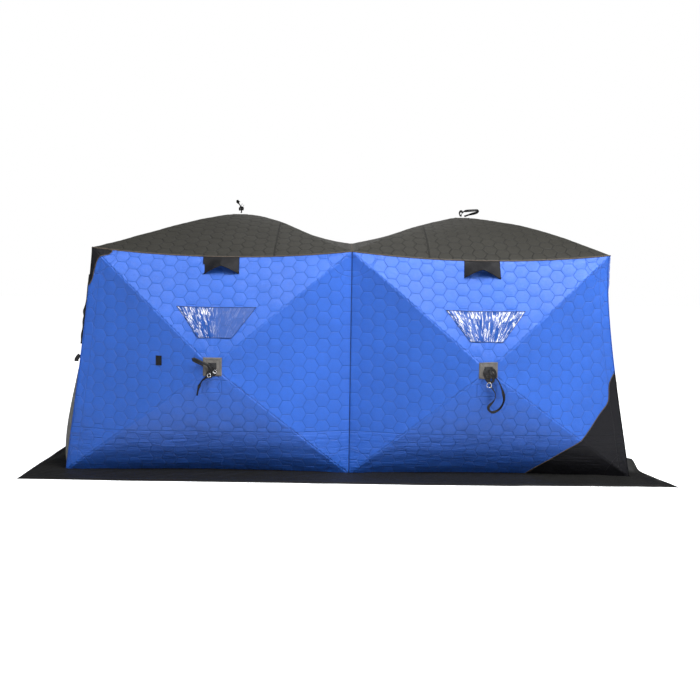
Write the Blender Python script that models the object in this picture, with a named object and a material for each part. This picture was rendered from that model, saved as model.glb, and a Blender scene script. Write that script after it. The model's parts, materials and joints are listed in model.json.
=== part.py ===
"""Ice fishing shelter: a pop-up hub tent of two square cells side by side.

Each cell has sewn wall and roof panels that are pushed outwards by hubs. A hub carries four
glass-fibre poles that run to the corners of its panel. X runs along the front, Y from the
front to the back and Z up. The ice is at Z = 0 and the middle of the footprint is the origin.
"""

import math
from collections import namedtuple

import bmesh
import bpy
from mathutils import Matrix, Vector

# Shell
TOP_HALF_LENGTH = 1.953
BASE_HALF_LENGTH = 2.166
TOP_HALF_DEPTH = 1.110
BASE_HALF_DEPTH = 1.167
EAVE_HEIGHT = 1.700
FABRIC = 0.002
SEAM_GAP = 0.0003
WALL_RISE = 0.217
ROOF_RISE = 0.330
WALL_HUB_HEIGHT = 0.832
WALL_HUB_X = 1.012
ROOF_HUB_X = 0.980
FLAT_SHARE = 0.075

# Ground skirt
SKIRT_WIDTH = 0.266
SKIRT_THICKNESS = 0.003
SKIRT_UNDER_WALL = 0.020

# Hubs and poles
HUB_RADIUS = 0.062
HUB_DEPTH = 0.034
HUB_SIDES = 16
NECK = 0.028
NECK_HOLE = 0.031
PLATE = 0.060
PLATE_THICKNESS = 0.006
SLOT_WIDTH = 0.0126
SLOT_START = 0.034
PIN_RADIUS = 0.045
PIN_DEPTH = 0.024
POLE_RADIUS = 0.0055
POLE_SIDES = 8
POLE_PAST_PIN = 0.006
TIP_FROM_CORNER = 0.060
TIP_DEPTH = 0.014

# Door in the front side gusset of the left end wall
DOOR_NEAR_CORNER = 0.100
DOOR_NEAR_HUB = 0.660
DOOR_MARGIN = 0.075
DOOR_GAP = 0.0005
ZIP_INSIDE = 0.004
ZIP_OUTSIDE = 0.030
ZIP_THICKNESS = 0.0025

# Windows and vent hoods, measured down the top gusset from the eave
WINDOW_X = 1.000
WINDOW_TOP = 0.437
WINDOW_BOTTOM = 0.680
WINDOW_TOP_HALF = 0.295
WINDOW_BOTTOM_HALF = 0.125
WINDOW_THICKNESS = 0.0015
VENT_X = 0.985
VENT_TOP = 0.055
VENT_HEIGHT = 0.135
VENT_HALF = 0.135
VENT_REACH = 0.065
VENT_ARCH = 0.030
VENT_SHELL = 0.002
VENT_COLUMNS = 8
VENT_ROWS = 3

# Pull straps: webbing, drawn as tubes as wide as the webbing
STRAP_RADIUS = 0.011
STRAP_STEP = 0.046

# Routes seen square on: right, up and out from the middle of the hub plate
FRONT_LEFT_STRAP = [
    (0.000, 0.000, 0.019),
    (-0.008, -0.056, 0.021),
    (-0.047, -0.080, 0.022),
    (-0.075, -0.106, 0.022),
    (-0.098, -0.157, 0.020),
    (-0.109, -0.211, 0.018),
]
FRONT_RIGHT_STRAP = [
    (0.006, 0.000, 0.019),
    (0.041, -0.031, 0.022),
    (0.086, -0.098, 0.024),
    (0.117, -0.200, 0.022),
    (0.092, -0.273, 0.018),
    (0.036, -0.305, 0.014),
    (0.004, -0.270, 0.014),
    (0.048, -0.212, 0.018),
    (0.050, -0.160, 0.020),
    (0.010, -0.105, 0.020),
]
ROOF_LEFT_STRAP = [
    (-0.012, 0.000, 0.019),
    (-0.034, -0.010, 0.060),
    (-0.014, -0.020, 0.105),
    (0.030, -0.010, 0.090),
    (0.036, 0.000, 0.048),
    (0.022, 0.012, 0.019),
]
ROOF_RIGHT_STRAP = [
    (-0.008, 0.000, 0.019),
    (0.030, -0.012, 0.066),
    (0.082, -0.016, 0.088),
    (0.132, -0.010, 0.074),
    (0.140, 0.010, 0.044),
    (0.090, 0.020, 0.030),
    (0.034, 0.022, 0.020),
]

TOP = 1
BASE = 0

Panel = namedtuple("Panel", "name hub corners base rise")
Frame = namedtuple("Frame", "origin across up out")


def clear_scene():
    for ob in list(bpy.data.objects):
        bpy.data.objects.remove(ob, do_unlink=True)


def material(name, colour, roughness, metallic=0.0):
    found = bpy.data.materials.get(name)
    if found:
        return found
    made = bpy.data.materials.new(name)
    made.use_nodes = True
    shader = made.node_tree.nodes["Principled BSDF"]
    shader.inputs["Base Color"].default_value = (*colour, 1.0)
    shader.inputs["Roughness"].default_value = roughness
    shader.inputs["Metallic"].default_value = metallic
    return made


def blue_quilt():
    return material("blue_quilt", (0.045, 0.165, 0.62), 0.6)


def grey_quilt():
    return material("grey_quilt", (0.055, 0.055, 0.05), 0.7)


def black_nylon():
    return material("black_nylon", (0.014, 0.014, 0.015), 0.6)


def clear_vinyl():
    return material("clear_vinyl", (0.55, 0.68, 0.9), 0.12)


def hub_nylon():
    return material("hub_nylon", (0.018, 0.018, 0.019), 0.45)


def pole_glass_fibre():
    return material("pole_glass_fibre", (0.025, 0.025, 0.027), 0.35)


def webbing():
    return material("webbing", (0.012, 0.012, 0.012), 0.8)


def zip_tape():
    return material("zip_tape", (0.16, 0.16, 0.165), 0.7)


def add_object(name, mesh, surface, place=None):
    ob = bpy.data.objects.new(name, mesh)
    bpy.context.scene.collection.objects.link(ob)
    mesh.materials.append(surface)
    if place is not None:
        ob.matrix_world = place
    return ob


def solid(name, points, faces, surface, origin=Vector()):
    """A closed mesh from its corner points, with its faces turned outwards."""
    bm = bmesh.new()
    verts = [bm.verts.new(p - origin) for p in points]
    for face in faces:
        bm.faces.new([verts[i] for i in face])
    bmesh.ops.recalc_face_normals(bm, faces=bm.faces)
    mesh = bpy.data.meshes.new(name)
    bm.to_mesh(mesh)
    bm.free()
    return add_object(name, mesh, surface, Matrix.Translation(origin))


def corner(key):
    side, end, level = key
    if level == TOP:
        return Vector((side * TOP_HALF_LENGTH, end * TOP_HALF_DEPTH, EAVE_HEIGHT))
    floor = SKIRT_THICKNESS + SEAM_GAP
    return Vector((side * BASE_HALF_LENGTH, end * BASE_HALF_DEPTH, floor))


def mitre(key):
    """From an outer corner of the shell to the same corner on the inside of the fabric."""
    side, end, level = key
    return Vector((-side * FABRIC, -end * FABRIC, -FABRIC * level))


def normal(panel):
    a, b, c, d = [corner(key) for key in panel.corners]
    out = (c - a).cross(d - b).normalized()
    middle = Vector((0, 0, EAVE_HEIGHT / 2))
    return out if out.dot(panel.base - middle) > 0 else -out


def apex(panel):
    """Where the four gussets would meet if the flat under the hub didn't cut them off."""
    return panel.base + normal(panel) * panel.rise / (1 - FLAT_SHARE)


def seam_shift(point, panel):
    """Pulls a point in from the panel's seams, along the world axes that lie in the panel."""
    out = normal(panel)
    facing = max(range(3), key=lambda axis: abs(out[axis]))
    shift = [0.0 if axis == facing else SEAM_GAP for axis in range(3)]
    toward = panel.base - point
    return Vector(math.copysign(s, t) for s, t in zip(shift, toward))


def panel_points(panel):
    """Outer and inner points: the corners, then the flat's corners."""
    out, top = normal(panel), apex(panel)
    outer = [corner(key) for key in panel.corners]
    inner = [corner(key) + mitre(key) for key in panel.corners]
    shifts = [seam_shift(p, panel) for p in outer]
    flat = [top + (p - top) * FLAT_SHARE for p in outer]
    outer = [p + s for p, s in zip(outer, shifts)]
    inner = [p + s for p, s in zip(inner, shifts)]
    return outer, inner, flat, [p - out * FABRIC for p in flat]


def hub_frame(panel):
    """The middle of the flat, with the panel's directions as a person outside sees them."""
    out = normal(panel)
    if abs(out.z) > 0.9:
        across = Vector((1, 0, 0))
    else:
        across = Vector((0, 0, 1)).cross(out).normalized()
    return Frame(panel.base + out * panel.rise, across, out.cross(across), out)


def frame_matrix(frame):
    turn = Matrix((frame.across, frame.up, frame.out)).transposed().to_4x4()
    return Matrix.Translation(frame.origin) @ turn


def at(frame, x, y, z=0.0):
    return frame.origin + frame.across * x + frame.up * y + frame.out * z


def make_panel(panel, surface, left_out=None):
    """A sewn panel of four gussets round a flat, which has a square hole for the hub's neck."""
    outer, inner, flat, flat_in = panel_points(panel)
    frame = hub_frame(panel)
    hole = []
    for p in flat:
        away = p - frame.origin
        x = math.copysign(NECK_HOLE / 2, away.dot(frame.across))
        y = math.copysign(NECK_HOLE / 2, away.dot(frame.up))
        hole.append(at(frame, x, y))
    hole_in = [p - frame.out * FABRIC for p in hole]
    points = outer + flat + hole + inner + flat_in + hole_in
    faces = []
    for i in range(4):
        j = (i + 1) % 4
        faces.append((4 + i, 4 + j, 8 + j, 8 + i))
        faces.append((16 + i, 16 + j, 20 + j, 20 + i))
        faces.append((8 + i, 8 + j, 20 + j, 20 + i))
        if i == left_out:
            faces.append((i, 4 + i, 16 + i, 12 + i))
            faces.append((4 + i, 4 + j, 16 + j, 16 + i))
            faces.append((4 + j, j, 12 + j, 16 + j))
        else:
            faces.append((i, j, 4 + j, 4 + i))
            faces.append((12 + i, 12 + j, 16 + j, 16 + i))
            faces.append((i, j, 12 + j, 12 + i))
    return solid(panel.name, points, faces, surface)


def gusset_frame(panel, i):
    """Frame in gusset i: up runs from the seam towards the hub, across along the seam."""
    a, b = corner(panel.corners[i]), corner(panel.corners[(i + 1) % 4])
    across = (b - a).normalized()
    out = across.cross(apex(panel) - a).normalized()
    if out.dot(normal(panel)) < 0:
        out = -out
    up = out.cross(across)
    if up.dot(apex(panel) - a) < 0:
        up = -up
    return Frame(a, across, up, out)


def band(name, rings, closed, surface, origin=Vector()):
    """A solid between two outlines: rings are outside top, inside top, inside bottom, outside bottom."""
    count = len(rings[0])
    points = [p for ring in rings for p in ring]
    faces = []
    for i in range(count if closed else count - 1):
        j = (i + 1) % count
        for k in range(4):
            this, following = k * count, (k + 1) % 4 * count
            faces.append((this + i, this + j, following + j, following + i))
    if not closed:
        faces.append(tuple(k * count for k in range(4)))
        faces.append(tuple(k * count + count - 1 for k in range(4)))
    return solid(name, points, faces, surface, origin)


def door_outline(near_corner, near_hub, margin):
    """Trapezoid in the gusset, as (along the corner seam, away from it), clear of the diagonals."""
    frame = gusset_frame(END_LEFT, DOOR_GUSSET)
    length = (corner(END_LEFT.corners[0]) - corner(END_LEFT.corners[3])).length
    tip = apex(END_LEFT) - frame.origin
    tip_along, tip_away = tip.dot(frame.across), tip.dot(frame.up)
    low = [tip_along * d / tip_away + margin for d in (near_corner, near_hub)]
    high = [length + (tip_along - length) * d / tip_away - margin for d in (near_corner, near_hub)]
    return [
        (low[1], near_hub),
        (low[0], near_corner),
        (high[0], near_corner),
        (high[1], near_hub),
    ]


def make_door():
    frame = gusset_frame(END_LEFT, DOOR_GUSSET)
    outline = door_outline(DOOR_NEAR_CORNER, DOOR_NEAR_HUB, DOOR_MARGIN)
    outer, inner, flat, flat_in = panel_points(END_LEFT)
    around = [flat[3], outer[3], outer[0], flat[0]]
    around_in = [flat_in[3], inner[3], inner[0], flat_in[0]]
    centre = sum(around, Vector()) / 4
    ease = [(centre - p).normalized() * 3 * SEAM_GAP for p in around]
    around = [p + s for p, s in zip(around, ease)]
    around_in = [p + s for p, s in zip(around_in, ease)]
    hole = [at(frame, x, y) for x, y in outline]
    hole_in = [at(frame, x, y, -FABRIC) for x, y in outline]
    rings = (around, hole, hole_in, around_in)
    band("door_surround", rings, True, blue_quilt(), corner(END_LEFT.corners[3]))

    leaf = door_outline(
        DOOR_NEAR_CORNER + DOOR_GAP, DOOR_NEAR_HUB - DOOR_GAP, DOOR_MARGIN + DOOR_GAP
    )
    points = [at(frame, x, y, z) for z in (0.0, -FABRIC) for x, y in leaf]
    sides = [(i, (i + 1) % 4, (i + 1) % 4 + 4, i + 4) for i in range(4)]
    hinge = at(frame, *outline[0])
    solid("door_leaf", points, [(0, 1, 2, 3), (4, 5, 6, 7), *sides], blue_quilt(), hinge)

    inside = door_outline(DOOR_NEAR_CORNER - ZIP_INSIDE, DOOR_NEAR_HUB, DOOR_MARGIN - ZIP_INSIDE)
    outside = door_outline(DOOR_NEAR_CORNER - ZIP_OUTSIDE, DOOR_NEAR_HUB, DOOR_MARGIN - ZIP_OUTSIDE)
    low, high = SEAM_GAP, SEAM_GAP + ZIP_THICKNESS
    rings = [[at(frame, x, y, z) for x, y in line]
             for line, z in ((outside, high), (inside, high), (inside, low), (outside, low))]
    band("door_zip", rings, False, zip_tape())


def make_skirt():
    def ring(grow, height):
        half_x, half_y = BASE_HALF_LENGTH + grow, BASE_HALF_DEPTH + grow
        signs = ((-1, -1), (1, -1), (1, 1), (-1, 1))
        return [Vector((sx * half_x, sy * half_y, height)) for sx, sy in signs]

    rings = (
        ring(SKIRT_WIDTH, SKIRT_THICKNESS),
        ring(-SKIRT_UNDER_WALL, SKIRT_THICKNESS),
        ring(-SKIRT_UNDER_WALL, 0.0),
        ring(SKIRT_WIDTH, 0.0),
    )
    band("ground_skirt", rings, True, black_nylon())


def top_gusset_frame(panel, x):
    """Frame on the eave above x, with up running down the top gusset."""
    frame = gusset_frame(panel, 0)
    distance = (x - frame.origin.x) / frame.across.x
    return frame._replace(origin=frame.origin + frame.across * distance)


def make_window(panel, name, x):
    frame = top_gusset_frame(panel, x)
    outline = [
        (-WINDOW_TOP_HALF, WINDOW_TOP),
        (WINDOW_TOP_HALF, WINDOW_TOP),
        (WINDOW_BOTTOM_HALF, WINDOW_BOTTOM),
        (-WINDOW_BOTTOM_HALF, WINDOW_BOTTOM),
    ]
    levels = (SEAM_GAP + WINDOW_THICKNESS, SEAM_GAP)
    points = [at(frame, px, py, z) for z in levels for px, py in outline]
    sides = [(i, (i + 1) % 4, (i + 1) % 4 + 4, i + 4) for i in range(4)]
    solid(name, points, [(0, 1, 2, 3), (4, 5, 6, 7), *sides], clear_vinyl())


def make_vent(panel, name, x):
    """A hood sewn on at its top and sides, and held open along an arched lower edge."""
    frame = top_gusset_frame(panel, x)
    points = []
    for level in (VENT_SHELL, 0.0):
        for row in range(VENT_ROWS + 1):
            down = row / VENT_ROWS
            for column in range(VENT_COLUMNS + 1):
                across = 2 * column / VENT_COLUMNS - 1
                bulge = 1 - across * across
                drop = VENT_TOP + (VENT_HEIGHT - VENT_ARCH * bulge) * down
                reach = VENT_REACH * bulge * down
                points.append(at(frame, VENT_HALF * across, drop, SEAM_GAP + reach + level))
    width, height = VENT_COLUMNS + 1, VENT_ROWS + 1
    layer = width * height
    faces = []
    for row in range(VENT_ROWS):
        for column in range(VENT_COLUMNS):
            i = row * width + column
            quad = (i, i + 1, i + width + 1, i + width)
            faces.append(quad)
            faces.append(tuple(k + layer for k in quad))
    rim = [(c, c + 1) for c in range(VENT_COLUMNS)]
    rim += [(c + VENT_ROWS * width, c + 1 + VENT_ROWS * width) for c in range(VENT_COLUMNS)]
    rim += [(r * width + c, (r + 1) * width + c) for r in range(VENT_ROWS) for c in (0, VENT_COLUMNS)]
    faces += [(a, b, b + layer, a + layer) for a, b in rim]
    solid(name, points, faces, black_nylon())


def box_points(low, high):
    return [Vector((x, y, z)) for z in (low[2], high[2]) for y in (low[1], high[1]) for x in (low[0], high[0])]


BOX_FACES = [(0, 2, 3, 1), (4, 5, 7, 6), (0, 1, 5, 4), (2, 6, 7, 3), (0, 4, 6, 2), (1, 3, 7, 5)]


def hidden(ob, place):
    ob.matrix_world = place
    ob.hide_render = True
    ob.display_type = "WIRE"
    return ob


def boolean(ob, operation, other):
    step = ob.modifiers.new(operation.title(), "BOOLEAN")
    step.operation = operation
    step.object = other
    step.solver = "EXACT"


def make_hub(panel, directions):
    """A disc inside the fabric with a slot for each pole, and a plate outside it on a neck."""
    place = frame_matrix(hub_frame(panel))
    turn_back = place.to_3x3().inverted()
    face = -(FABRIC + SEAM_GAP)
    bm = bmesh.new()
    bmesh.ops.create_cone(
        bm, cap_ends=True, segments=HUB_SIDES, radius1=HUB_RADIUS, radius2=HUB_RADIUS,
        depth=HUB_DEPTH, matrix=Matrix.Translation((0, 0, face - HUB_DEPTH / 2)),
    )
    mesh = bpy.data.meshes.new(panel.hub)
    bm.to_mesh(mesh)
    bm.free()
    hub = add_object(panel.hub, mesh, hub_nylon(), place)

    half = NECK / 2
    neck = box_points((-half, -half, face - HUB_DEPTH / 2), (half, half, 2 * SEAM_GAP))
    neck = solid(panel.hub + "_neck_tool", neck, BOX_FACES, hub_nylon())
    half = PLATE / 2
    plate = box_points((-half, -half, SEAM_GAP), (half, half, SEAM_GAP + PLATE_THICKNESS))
    plate = solid(panel.hub + "_plate_tool", plate, BOX_FACES, hub_nylon())
    points, faces = [], []
    for direction in directions:
        along = turn_back @ direction
        turn = Matrix.Rotation(math.atan2(along.y, along.x), 4, "Z")
        low = (SLOT_START, -SLOT_WIDTH / 2, face - HUB_DEPTH - 0.002)
        high = (HUB_RADIUS + 0.010, SLOT_WIDTH / 2, face + 0.002)
        faces += [tuple(k + len(points) for k in f) for f in BOX_FACES]
        points += [turn @ p for p in box_points(low, high)]
    slots = solid(panel.hub + "_slot_tool", points, faces, hub_nylon())
    for operation, tool in (("UNION", neck), ("UNION", plate), ("DIFFERENCE", slots)):
        boolean(hub, operation, hidden(tool, place))


def pole_run(panel, key):
    """A pole's pin, its tip, and the direction from the hub to the corner in the panel."""
    frame = hub_frame(panel)
    direction = (corner(key) - panel.base).normalized()
    pin = frame.origin - frame.out * PIN_DEPTH + direction * PIN_RADIUS
    tip = corner(key) - direction * TIP_FROM_CORNER - frame.out * TIP_DEPTH
    return pin, tip, direction


def make_pole(name, panel, key):
    pin, tip, direction = pole_run(panel, key)
    along = (tip - pin).normalized()
    hinge = normal(panel).cross(direction).normalized()
    turn = Matrix((hinge, along.cross(hinge), along)).transposed().to_4x4()
    length = (tip - pin).length + POLE_PAST_PIN
    middle = Matrix.Translation((0, 0, length / 2 - POLE_PAST_PIN))
    bm = bmesh.new()
    bmesh.ops.create_cone(
        bm, cap_ends=True, segments=POLE_SIDES, radius1=POLE_RADIUS, radius2=POLE_RADIUS,
        depth=length, matrix=middle,
    )
    mesh = bpy.data.meshes.new(name)
    bm.to_mesh(mesh)
    bm.free()
    mesh.shade_smooth()
    mesh.set_sharp_from_angle(angle=math.radians(60))
    add_object(name, mesh, pole_glass_fibre(), Matrix.Translation(pin) @ turn)


def smooth_route(points, step):
    """Points about one step apart on a Catmull-Rom curve through the given points."""
    padded = [2 * points[0] - points[1], *points, 2 * points[-1] - points[-2]]
    fine = []
    for a, b, c, d in zip(padded, padded[1:], padded[2:], padded[3:]):
        for k in range(24):
            t = k / 24
            curve = 2 * b + (c - a) * t + (2 * a - 5 * b + 4 * c - d) * t * t
            fine.append((curve + (3 * b - 3 * c + d - a) * t ** 3) / 2)
    fine.append(points[-1])
    lengths = [0.0]
    for a, b in zip(fine, fine[1:]):
        lengths.append(lengths[-1] + (b - a).length)
    count = max(2, round(lengths[-1] / step))
    route, k = [], 0
    for i in range(count + 1):
        wanted = lengths[-1] * i / count
        while k < len(fine) - 2 and lengths[k + 1] < wanted:
            k += 1
        share = (wanted - lengths[k]) / (lengths[k + 1] - lengths[k])
        route.append(fine[k].lerp(fine[k + 1], share))
    return route


def make_strap(name, panel, route):
    frame = hub_frame(panel)
    points = smooth_route([at(frame, *p) for p in route], STRAP_STEP)
    curve = bpy.data.curves.new(name, "CURVE")
    curve.dimensions = "3D"
    curve.bevel_depth = STRAP_RADIUS
    curve.bevel_resolution = 2
    curve.use_fill_caps = True
    line = curve.splines.new("POLY")
    line.points.add(len(points) - 1)
    for node, p in zip(line.points, points):
        node.co = (*p, 1.0)
    ob = bpy.data.objects.new(name, curve)
    bpy.context.scene.collection.objects.link(ob)
    curve.materials.append(webbing())


def wall_base(side, end):
    """The point in a wall's flat plane that is straight behind its hub."""
    drop = (EAVE_HEIGHT - WALL_HUB_HEIGHT) / EAVE_HEIGHT
    if end:
        depth = TOP_HALF_DEPTH + (BASE_HALF_DEPTH - TOP_HALF_DEPTH) * drop
        return Vector((side * WALL_HUB_X, end * depth, WALL_HUB_HEIGHT))
    length = TOP_HALF_LENGTH + (BASE_HALF_LENGTH - TOP_HALF_LENGTH) * drop
    return Vector((side * length, 0, WALL_HUB_HEIGHT))


def long_wall(name, side, end):
    """Front or back panel: its corners from the outer end inwards, top then base."""
    corners = ((side, end, TOP), (0, end, TOP), (0, end, BASE), (side, end, BASE))
    place = "front" if end < 0 else "back"
    hand = "left" if side < 0 else "right"
    return Panel(name, f"{place}_{hand}_hub", corners, wall_base(side, end), WALL_RISE)


def end_wall(name, side):
    corners = ((side, -1, TOP), (side, 1, TOP), (side, 1, BASE), (side, -1, BASE))
    hand = "left" if side < 0 else "right"
    return Panel(name, f"end_{hand}_hub", corners, wall_base(side, 0), WALL_RISE)


def roof(name, side):
    corners = ((side, -1, TOP), (0, -1, TOP), (0, 1, TOP), (side, 1, TOP))
    hand = "left" if side < 0 else "right"
    return Panel(name, f"roof_{hand}_hub", corners, Vector((side * ROOF_HUB_X, 0, EAVE_HEIGHT)), ROOF_RISE)


FRONT_LEFT = long_wall("front_wall_left", -1, -1)
FRONT_RIGHT = long_wall("front_wall_right", 1, -1)
BACK_LEFT = long_wall("back_wall_left", -1, 1)
BACK_RIGHT = long_wall("back_wall_right", 1, 1)
END_LEFT = end_wall("end_wall_left", -1)
END_RIGHT = end_wall("end_wall_right", 1)
ROOF_LEFT = roof("roof_left", -1)
ROOF_RIGHT = roof("roof_right", 1)
WALLS = [FRONT_LEFT, FRONT_RIGHT, BACK_LEFT, BACK_RIGHT, END_LEFT, END_RIGHT]
ROOFS = [ROOF_LEFT, ROOF_RIGHT]
LONG_CORNERS = ("upper_outer", "upper_inner", "lower_inner", "lower_outer")
END_CORNERS = ("upper_front", "upper_back", "lower_back", "lower_front")
ROOF_CORNERS = ("front_outer", "front_inner", "back_inner", "back_outer")
DOOR_GUSSET = 3


def corner_names(panel):
    if panel in ROOFS:
        return ROOF_CORNERS
    return END_CORNERS if panel in (END_LEFT, END_RIGHT) else LONG_CORNERS


def pole_name(panel, place):
    return panel.hub.replace("_hub", "") + "_pole_" + place


def main():
    clear_scene()
    for panel in WALLS + ROOFS:
        surface = grey_quilt() if panel in ROOFS else blue_quilt()
        make_panel(panel, surface, DOOR_GUSSET if panel is END_LEFT else None)
        runs = [pole_run(panel, key) for key in panel.corners]
        make_hub(panel, [direction for _, _, direction in runs])
        for key, place in zip(panel.corners, corner_names(panel)):
            make_pole(pole_name(panel, place), panel, key)
    make_skirt()
    make_door()
    for panel, hand, side in ((FRONT_LEFT, "left", -1), (FRONT_RIGHT, "right", 1)):
        make_window(panel, "front_window_" + hand, side * WINDOW_X)
        make_vent(panel, "vent_hood_" + hand, side * VENT_X)
    make_strap("front_left_pull_strap", FRONT_LEFT, FRONT_LEFT_STRAP)
    make_strap("front_right_pull_strap", FRONT_RIGHT, FRONT_RIGHT_STRAP)
    make_strap("roof_left_pull_strap", ROOF_LEFT, ROOF_LEFT_STRAP)
    make_strap("roof_right_pull_strap", ROOF_RIGHT, ROOF_RIGHT_STRAP)


main()
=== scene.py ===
"""Looks of the pop-up ice fishing shelter: its cloth, film, webbing, trim, light and camera."""

import json
import math

import bmesh
import bpy
import numpy as np
from mathutils import Matrix, Vector


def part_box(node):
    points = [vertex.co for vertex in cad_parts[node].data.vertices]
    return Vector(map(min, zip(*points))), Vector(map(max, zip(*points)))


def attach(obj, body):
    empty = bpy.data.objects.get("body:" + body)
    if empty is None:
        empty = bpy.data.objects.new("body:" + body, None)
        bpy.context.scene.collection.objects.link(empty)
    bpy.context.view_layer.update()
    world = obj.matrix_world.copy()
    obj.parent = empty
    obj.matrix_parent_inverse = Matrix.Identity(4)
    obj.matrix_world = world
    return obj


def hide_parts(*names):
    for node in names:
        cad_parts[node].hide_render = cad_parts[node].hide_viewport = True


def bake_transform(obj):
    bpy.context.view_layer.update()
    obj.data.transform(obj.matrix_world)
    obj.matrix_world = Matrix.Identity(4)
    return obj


# The quilt is stitched in hexagons with level tops, each this far from its level top to its base.
CELL = 0.103
SIDE = CELL / math.sqrt(3)
STEP = SIDE / 4
PUFF = 0.0024

CLOTH = 0.002
# The share of the way from a hub to a seam that is level, on the hub's plate.
FLAT_SHARE = 0.075
# How far the poles bow out halfway along, to each of a panel's corners.
WALL_BOW = (0.016, 0.016, 0.016, 0.016)
ROOF_BOWS = {"roof_left": (0.021, 0.034, 0.034, 0.021), "roof_right": (0.048, 0.034, 0.034, 0.048)}
# Above 1, the bow is fullest nearer the hub than the corner.
BOW_SKEW = {"roof_left": 1.8}
# How far the middle of each gusset is pulled in, from the hub side round; less than 0 bulges out.
WALL_SAG = (0.018, 0.016, -0.032, 0.016)
ROOF_SAG = (-0.028, 0.030, 0.030, 0.030)
EAVE_SAG = 0.055
VALLEY_RISE = 0.090
# Two shares of the way from a gusset's seam towards its hub, at which blend works out places.
FOLLOW_FROM = -0.04
FOLLOW_TO = 1.03

# Stitching on the walls, in their panels' planes: a row below the hub, a line along the outer
# seams, an arc round each corner, and an oblong frame below the hub.
STITCHED_ROW = -0.497
RIM_LINE = 0.075
CORNER_ARC = 0.19
FRAME_MIDDLE = (-0.008, -0.147)
FRAME_HALF = (0.071, 0.048)
# Below the stitched row the cloth is crumpled.
CRUMPLED_FROM, CRUMPLED_TO = 0.49, 0.53

PATCH_HALF = 0.069
# How far the door's zip tape reaches out round the door leaf.
ZIP_WIDTH = 0.030
# A window's lower side as a share of its upper side.
WINDOW_TAPER = 0.42
HOOD_HALF = 0.137
# How far the wall runs outwards for each metre that it drops below the eave.
WALL_SLOPE = 0.27
STRAP_WIDTH = 0.022
STRAP_THICKNESS = 0.0024

# Each pull strap's route, as (right, up, out) from the middle of its hub's plate.
STRAPS = {
    "front_left": [
        (0.000, 0.000, 0.019), (-0.008, -0.056, 0.021), (-0.047, -0.080, 0.022), (-0.075, -0.106, 0.022),
        (-0.098, -0.157, 0.020), (-0.109, -0.211, 0.018),
    ],
    "front_right": [
        (0.006, 0.000, 0.019), (0.041, -0.031, 0.022), (0.086, -0.098, 0.024), (0.117, -0.200, 0.022),
        (0.092, -0.273, 0.018), (0.036, -0.305, 0.014), (0.004, -0.270, 0.014), (0.048, -0.212, 0.018),
        (0.050, -0.160, 0.020), (0.010, -0.105, 0.020),
    ],
    "roof_left": [
        (0.000, 0.000, 0.019), (0.003, -0.004, 0.045), (0.000, -0.008, 0.066), (-0.014, -0.012, 0.092),
        (-0.036, -0.014, 0.120), (-0.026, -0.018, 0.126), (-0.012, -0.022, 0.112),
    ],
    "roof_right": [
        (0.000, 0.000, 0.019), (0.004, -0.006, 0.042), (0.024, -0.012, 0.064), (0.080, -0.016, 0.072),
        (0.148, -0.010, 0.074), (0.138, -0.002, 0.056), (0.080, 0.006, 0.040), (0.030, 0.012, 0.022),
    ],
}

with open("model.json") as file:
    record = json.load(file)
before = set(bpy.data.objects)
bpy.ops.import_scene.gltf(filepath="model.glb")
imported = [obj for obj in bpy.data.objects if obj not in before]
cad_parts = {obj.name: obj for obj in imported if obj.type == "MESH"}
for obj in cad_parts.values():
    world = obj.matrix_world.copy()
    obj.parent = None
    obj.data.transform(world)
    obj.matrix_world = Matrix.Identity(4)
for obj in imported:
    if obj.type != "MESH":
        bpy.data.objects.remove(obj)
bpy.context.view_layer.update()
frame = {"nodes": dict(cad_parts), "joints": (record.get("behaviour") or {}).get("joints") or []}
joints = {j["name"]: j for j in frame["joints"]}


# ---- camera, light and floor


def make_camera():
    data = bpy.data.cameras.new("camera")
    data.sensor_width = 36.0
    data.lens = 39.8
    data.clip_end = 100.0
    camera = bpy.data.objects.new("camera", data)
    bpy.context.scene.collection.objects.link(camera)
    turn = Matrix.Identity(3)
    # Its yaw, pitch and roll, in radians.
    for axis, angle in (("Z", -0.010), ("X", -0.104), ("Y", -0.016)):
        turn = turn @ Matrix.Rotation(angle, 3, axis)
    right, forward, up = turn.col
    facing = Matrix((right, up, -forward)).transposed().to_4x4()
    camera.matrix_world = Matrix.Translation((-0.063, -6.987, 1.566)) @ facing
    bpy.context.scene.camera = camera


def area_light(name, place, aim, size, power):
    data = bpy.data.lights.new(name, "AREA")
    data.shape = "DISK"
    data.size = size
    data.energy = power
    light = bpy.data.objects.new(name, data)
    bpy.context.scene.collection.objects.link(light)
    light.location = place
    light.rotation_euler = (Vector(aim) - Vector(place)).to_track_quat("-Z", "Y").to_euler()


def make_world():
    world = bpy.data.worlds.new("studio")
    bpy.context.scene.world = world
    world.use_nodes = True
    tree = world.node_tree
    tree.nodes.clear()
    kinds = "OutputWorld Background TexCoord SeparateXYZ MapRange Background LightPath MixShader"
    out, fill, way, parts, strength, backdrop, seen, mix = (
        tree.nodes.new("ShaderNode" + kind) for kind in kinds.split()
    )
    fill.inputs["Color"].default_value = (0.97, 0.98, 1.0, 1.0)
    backdrop.inputs["Color"].default_value = (1.0, 1.0, 1.0, 1.0)
    # Little light from above the horizon, and more from below it, as if off the pale floor.
    for key, value in (("From Min", -0.2), ("From Max", 0.1), ("To Min", 0.42), ("To Max", 0.03)):
        strength.inputs[key].default_value = value
    for source, target in (
        (way.outputs["Generated"], parts.inputs[0]),
        (parts.outputs[2], strength.inputs["Value"]),
        (strength.outputs[0], fill.inputs["Strength"]),
        (seen.outputs["Is Camera Ray"], mix.inputs[0]),
        (fill.outputs[0], mix.inputs[1]),
        (backdrop.outputs[0], mix.inputs[2]),
        (mix.outputs[0], out.inputs[0]),
    ):
        tree.links.new(source, target)


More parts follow.
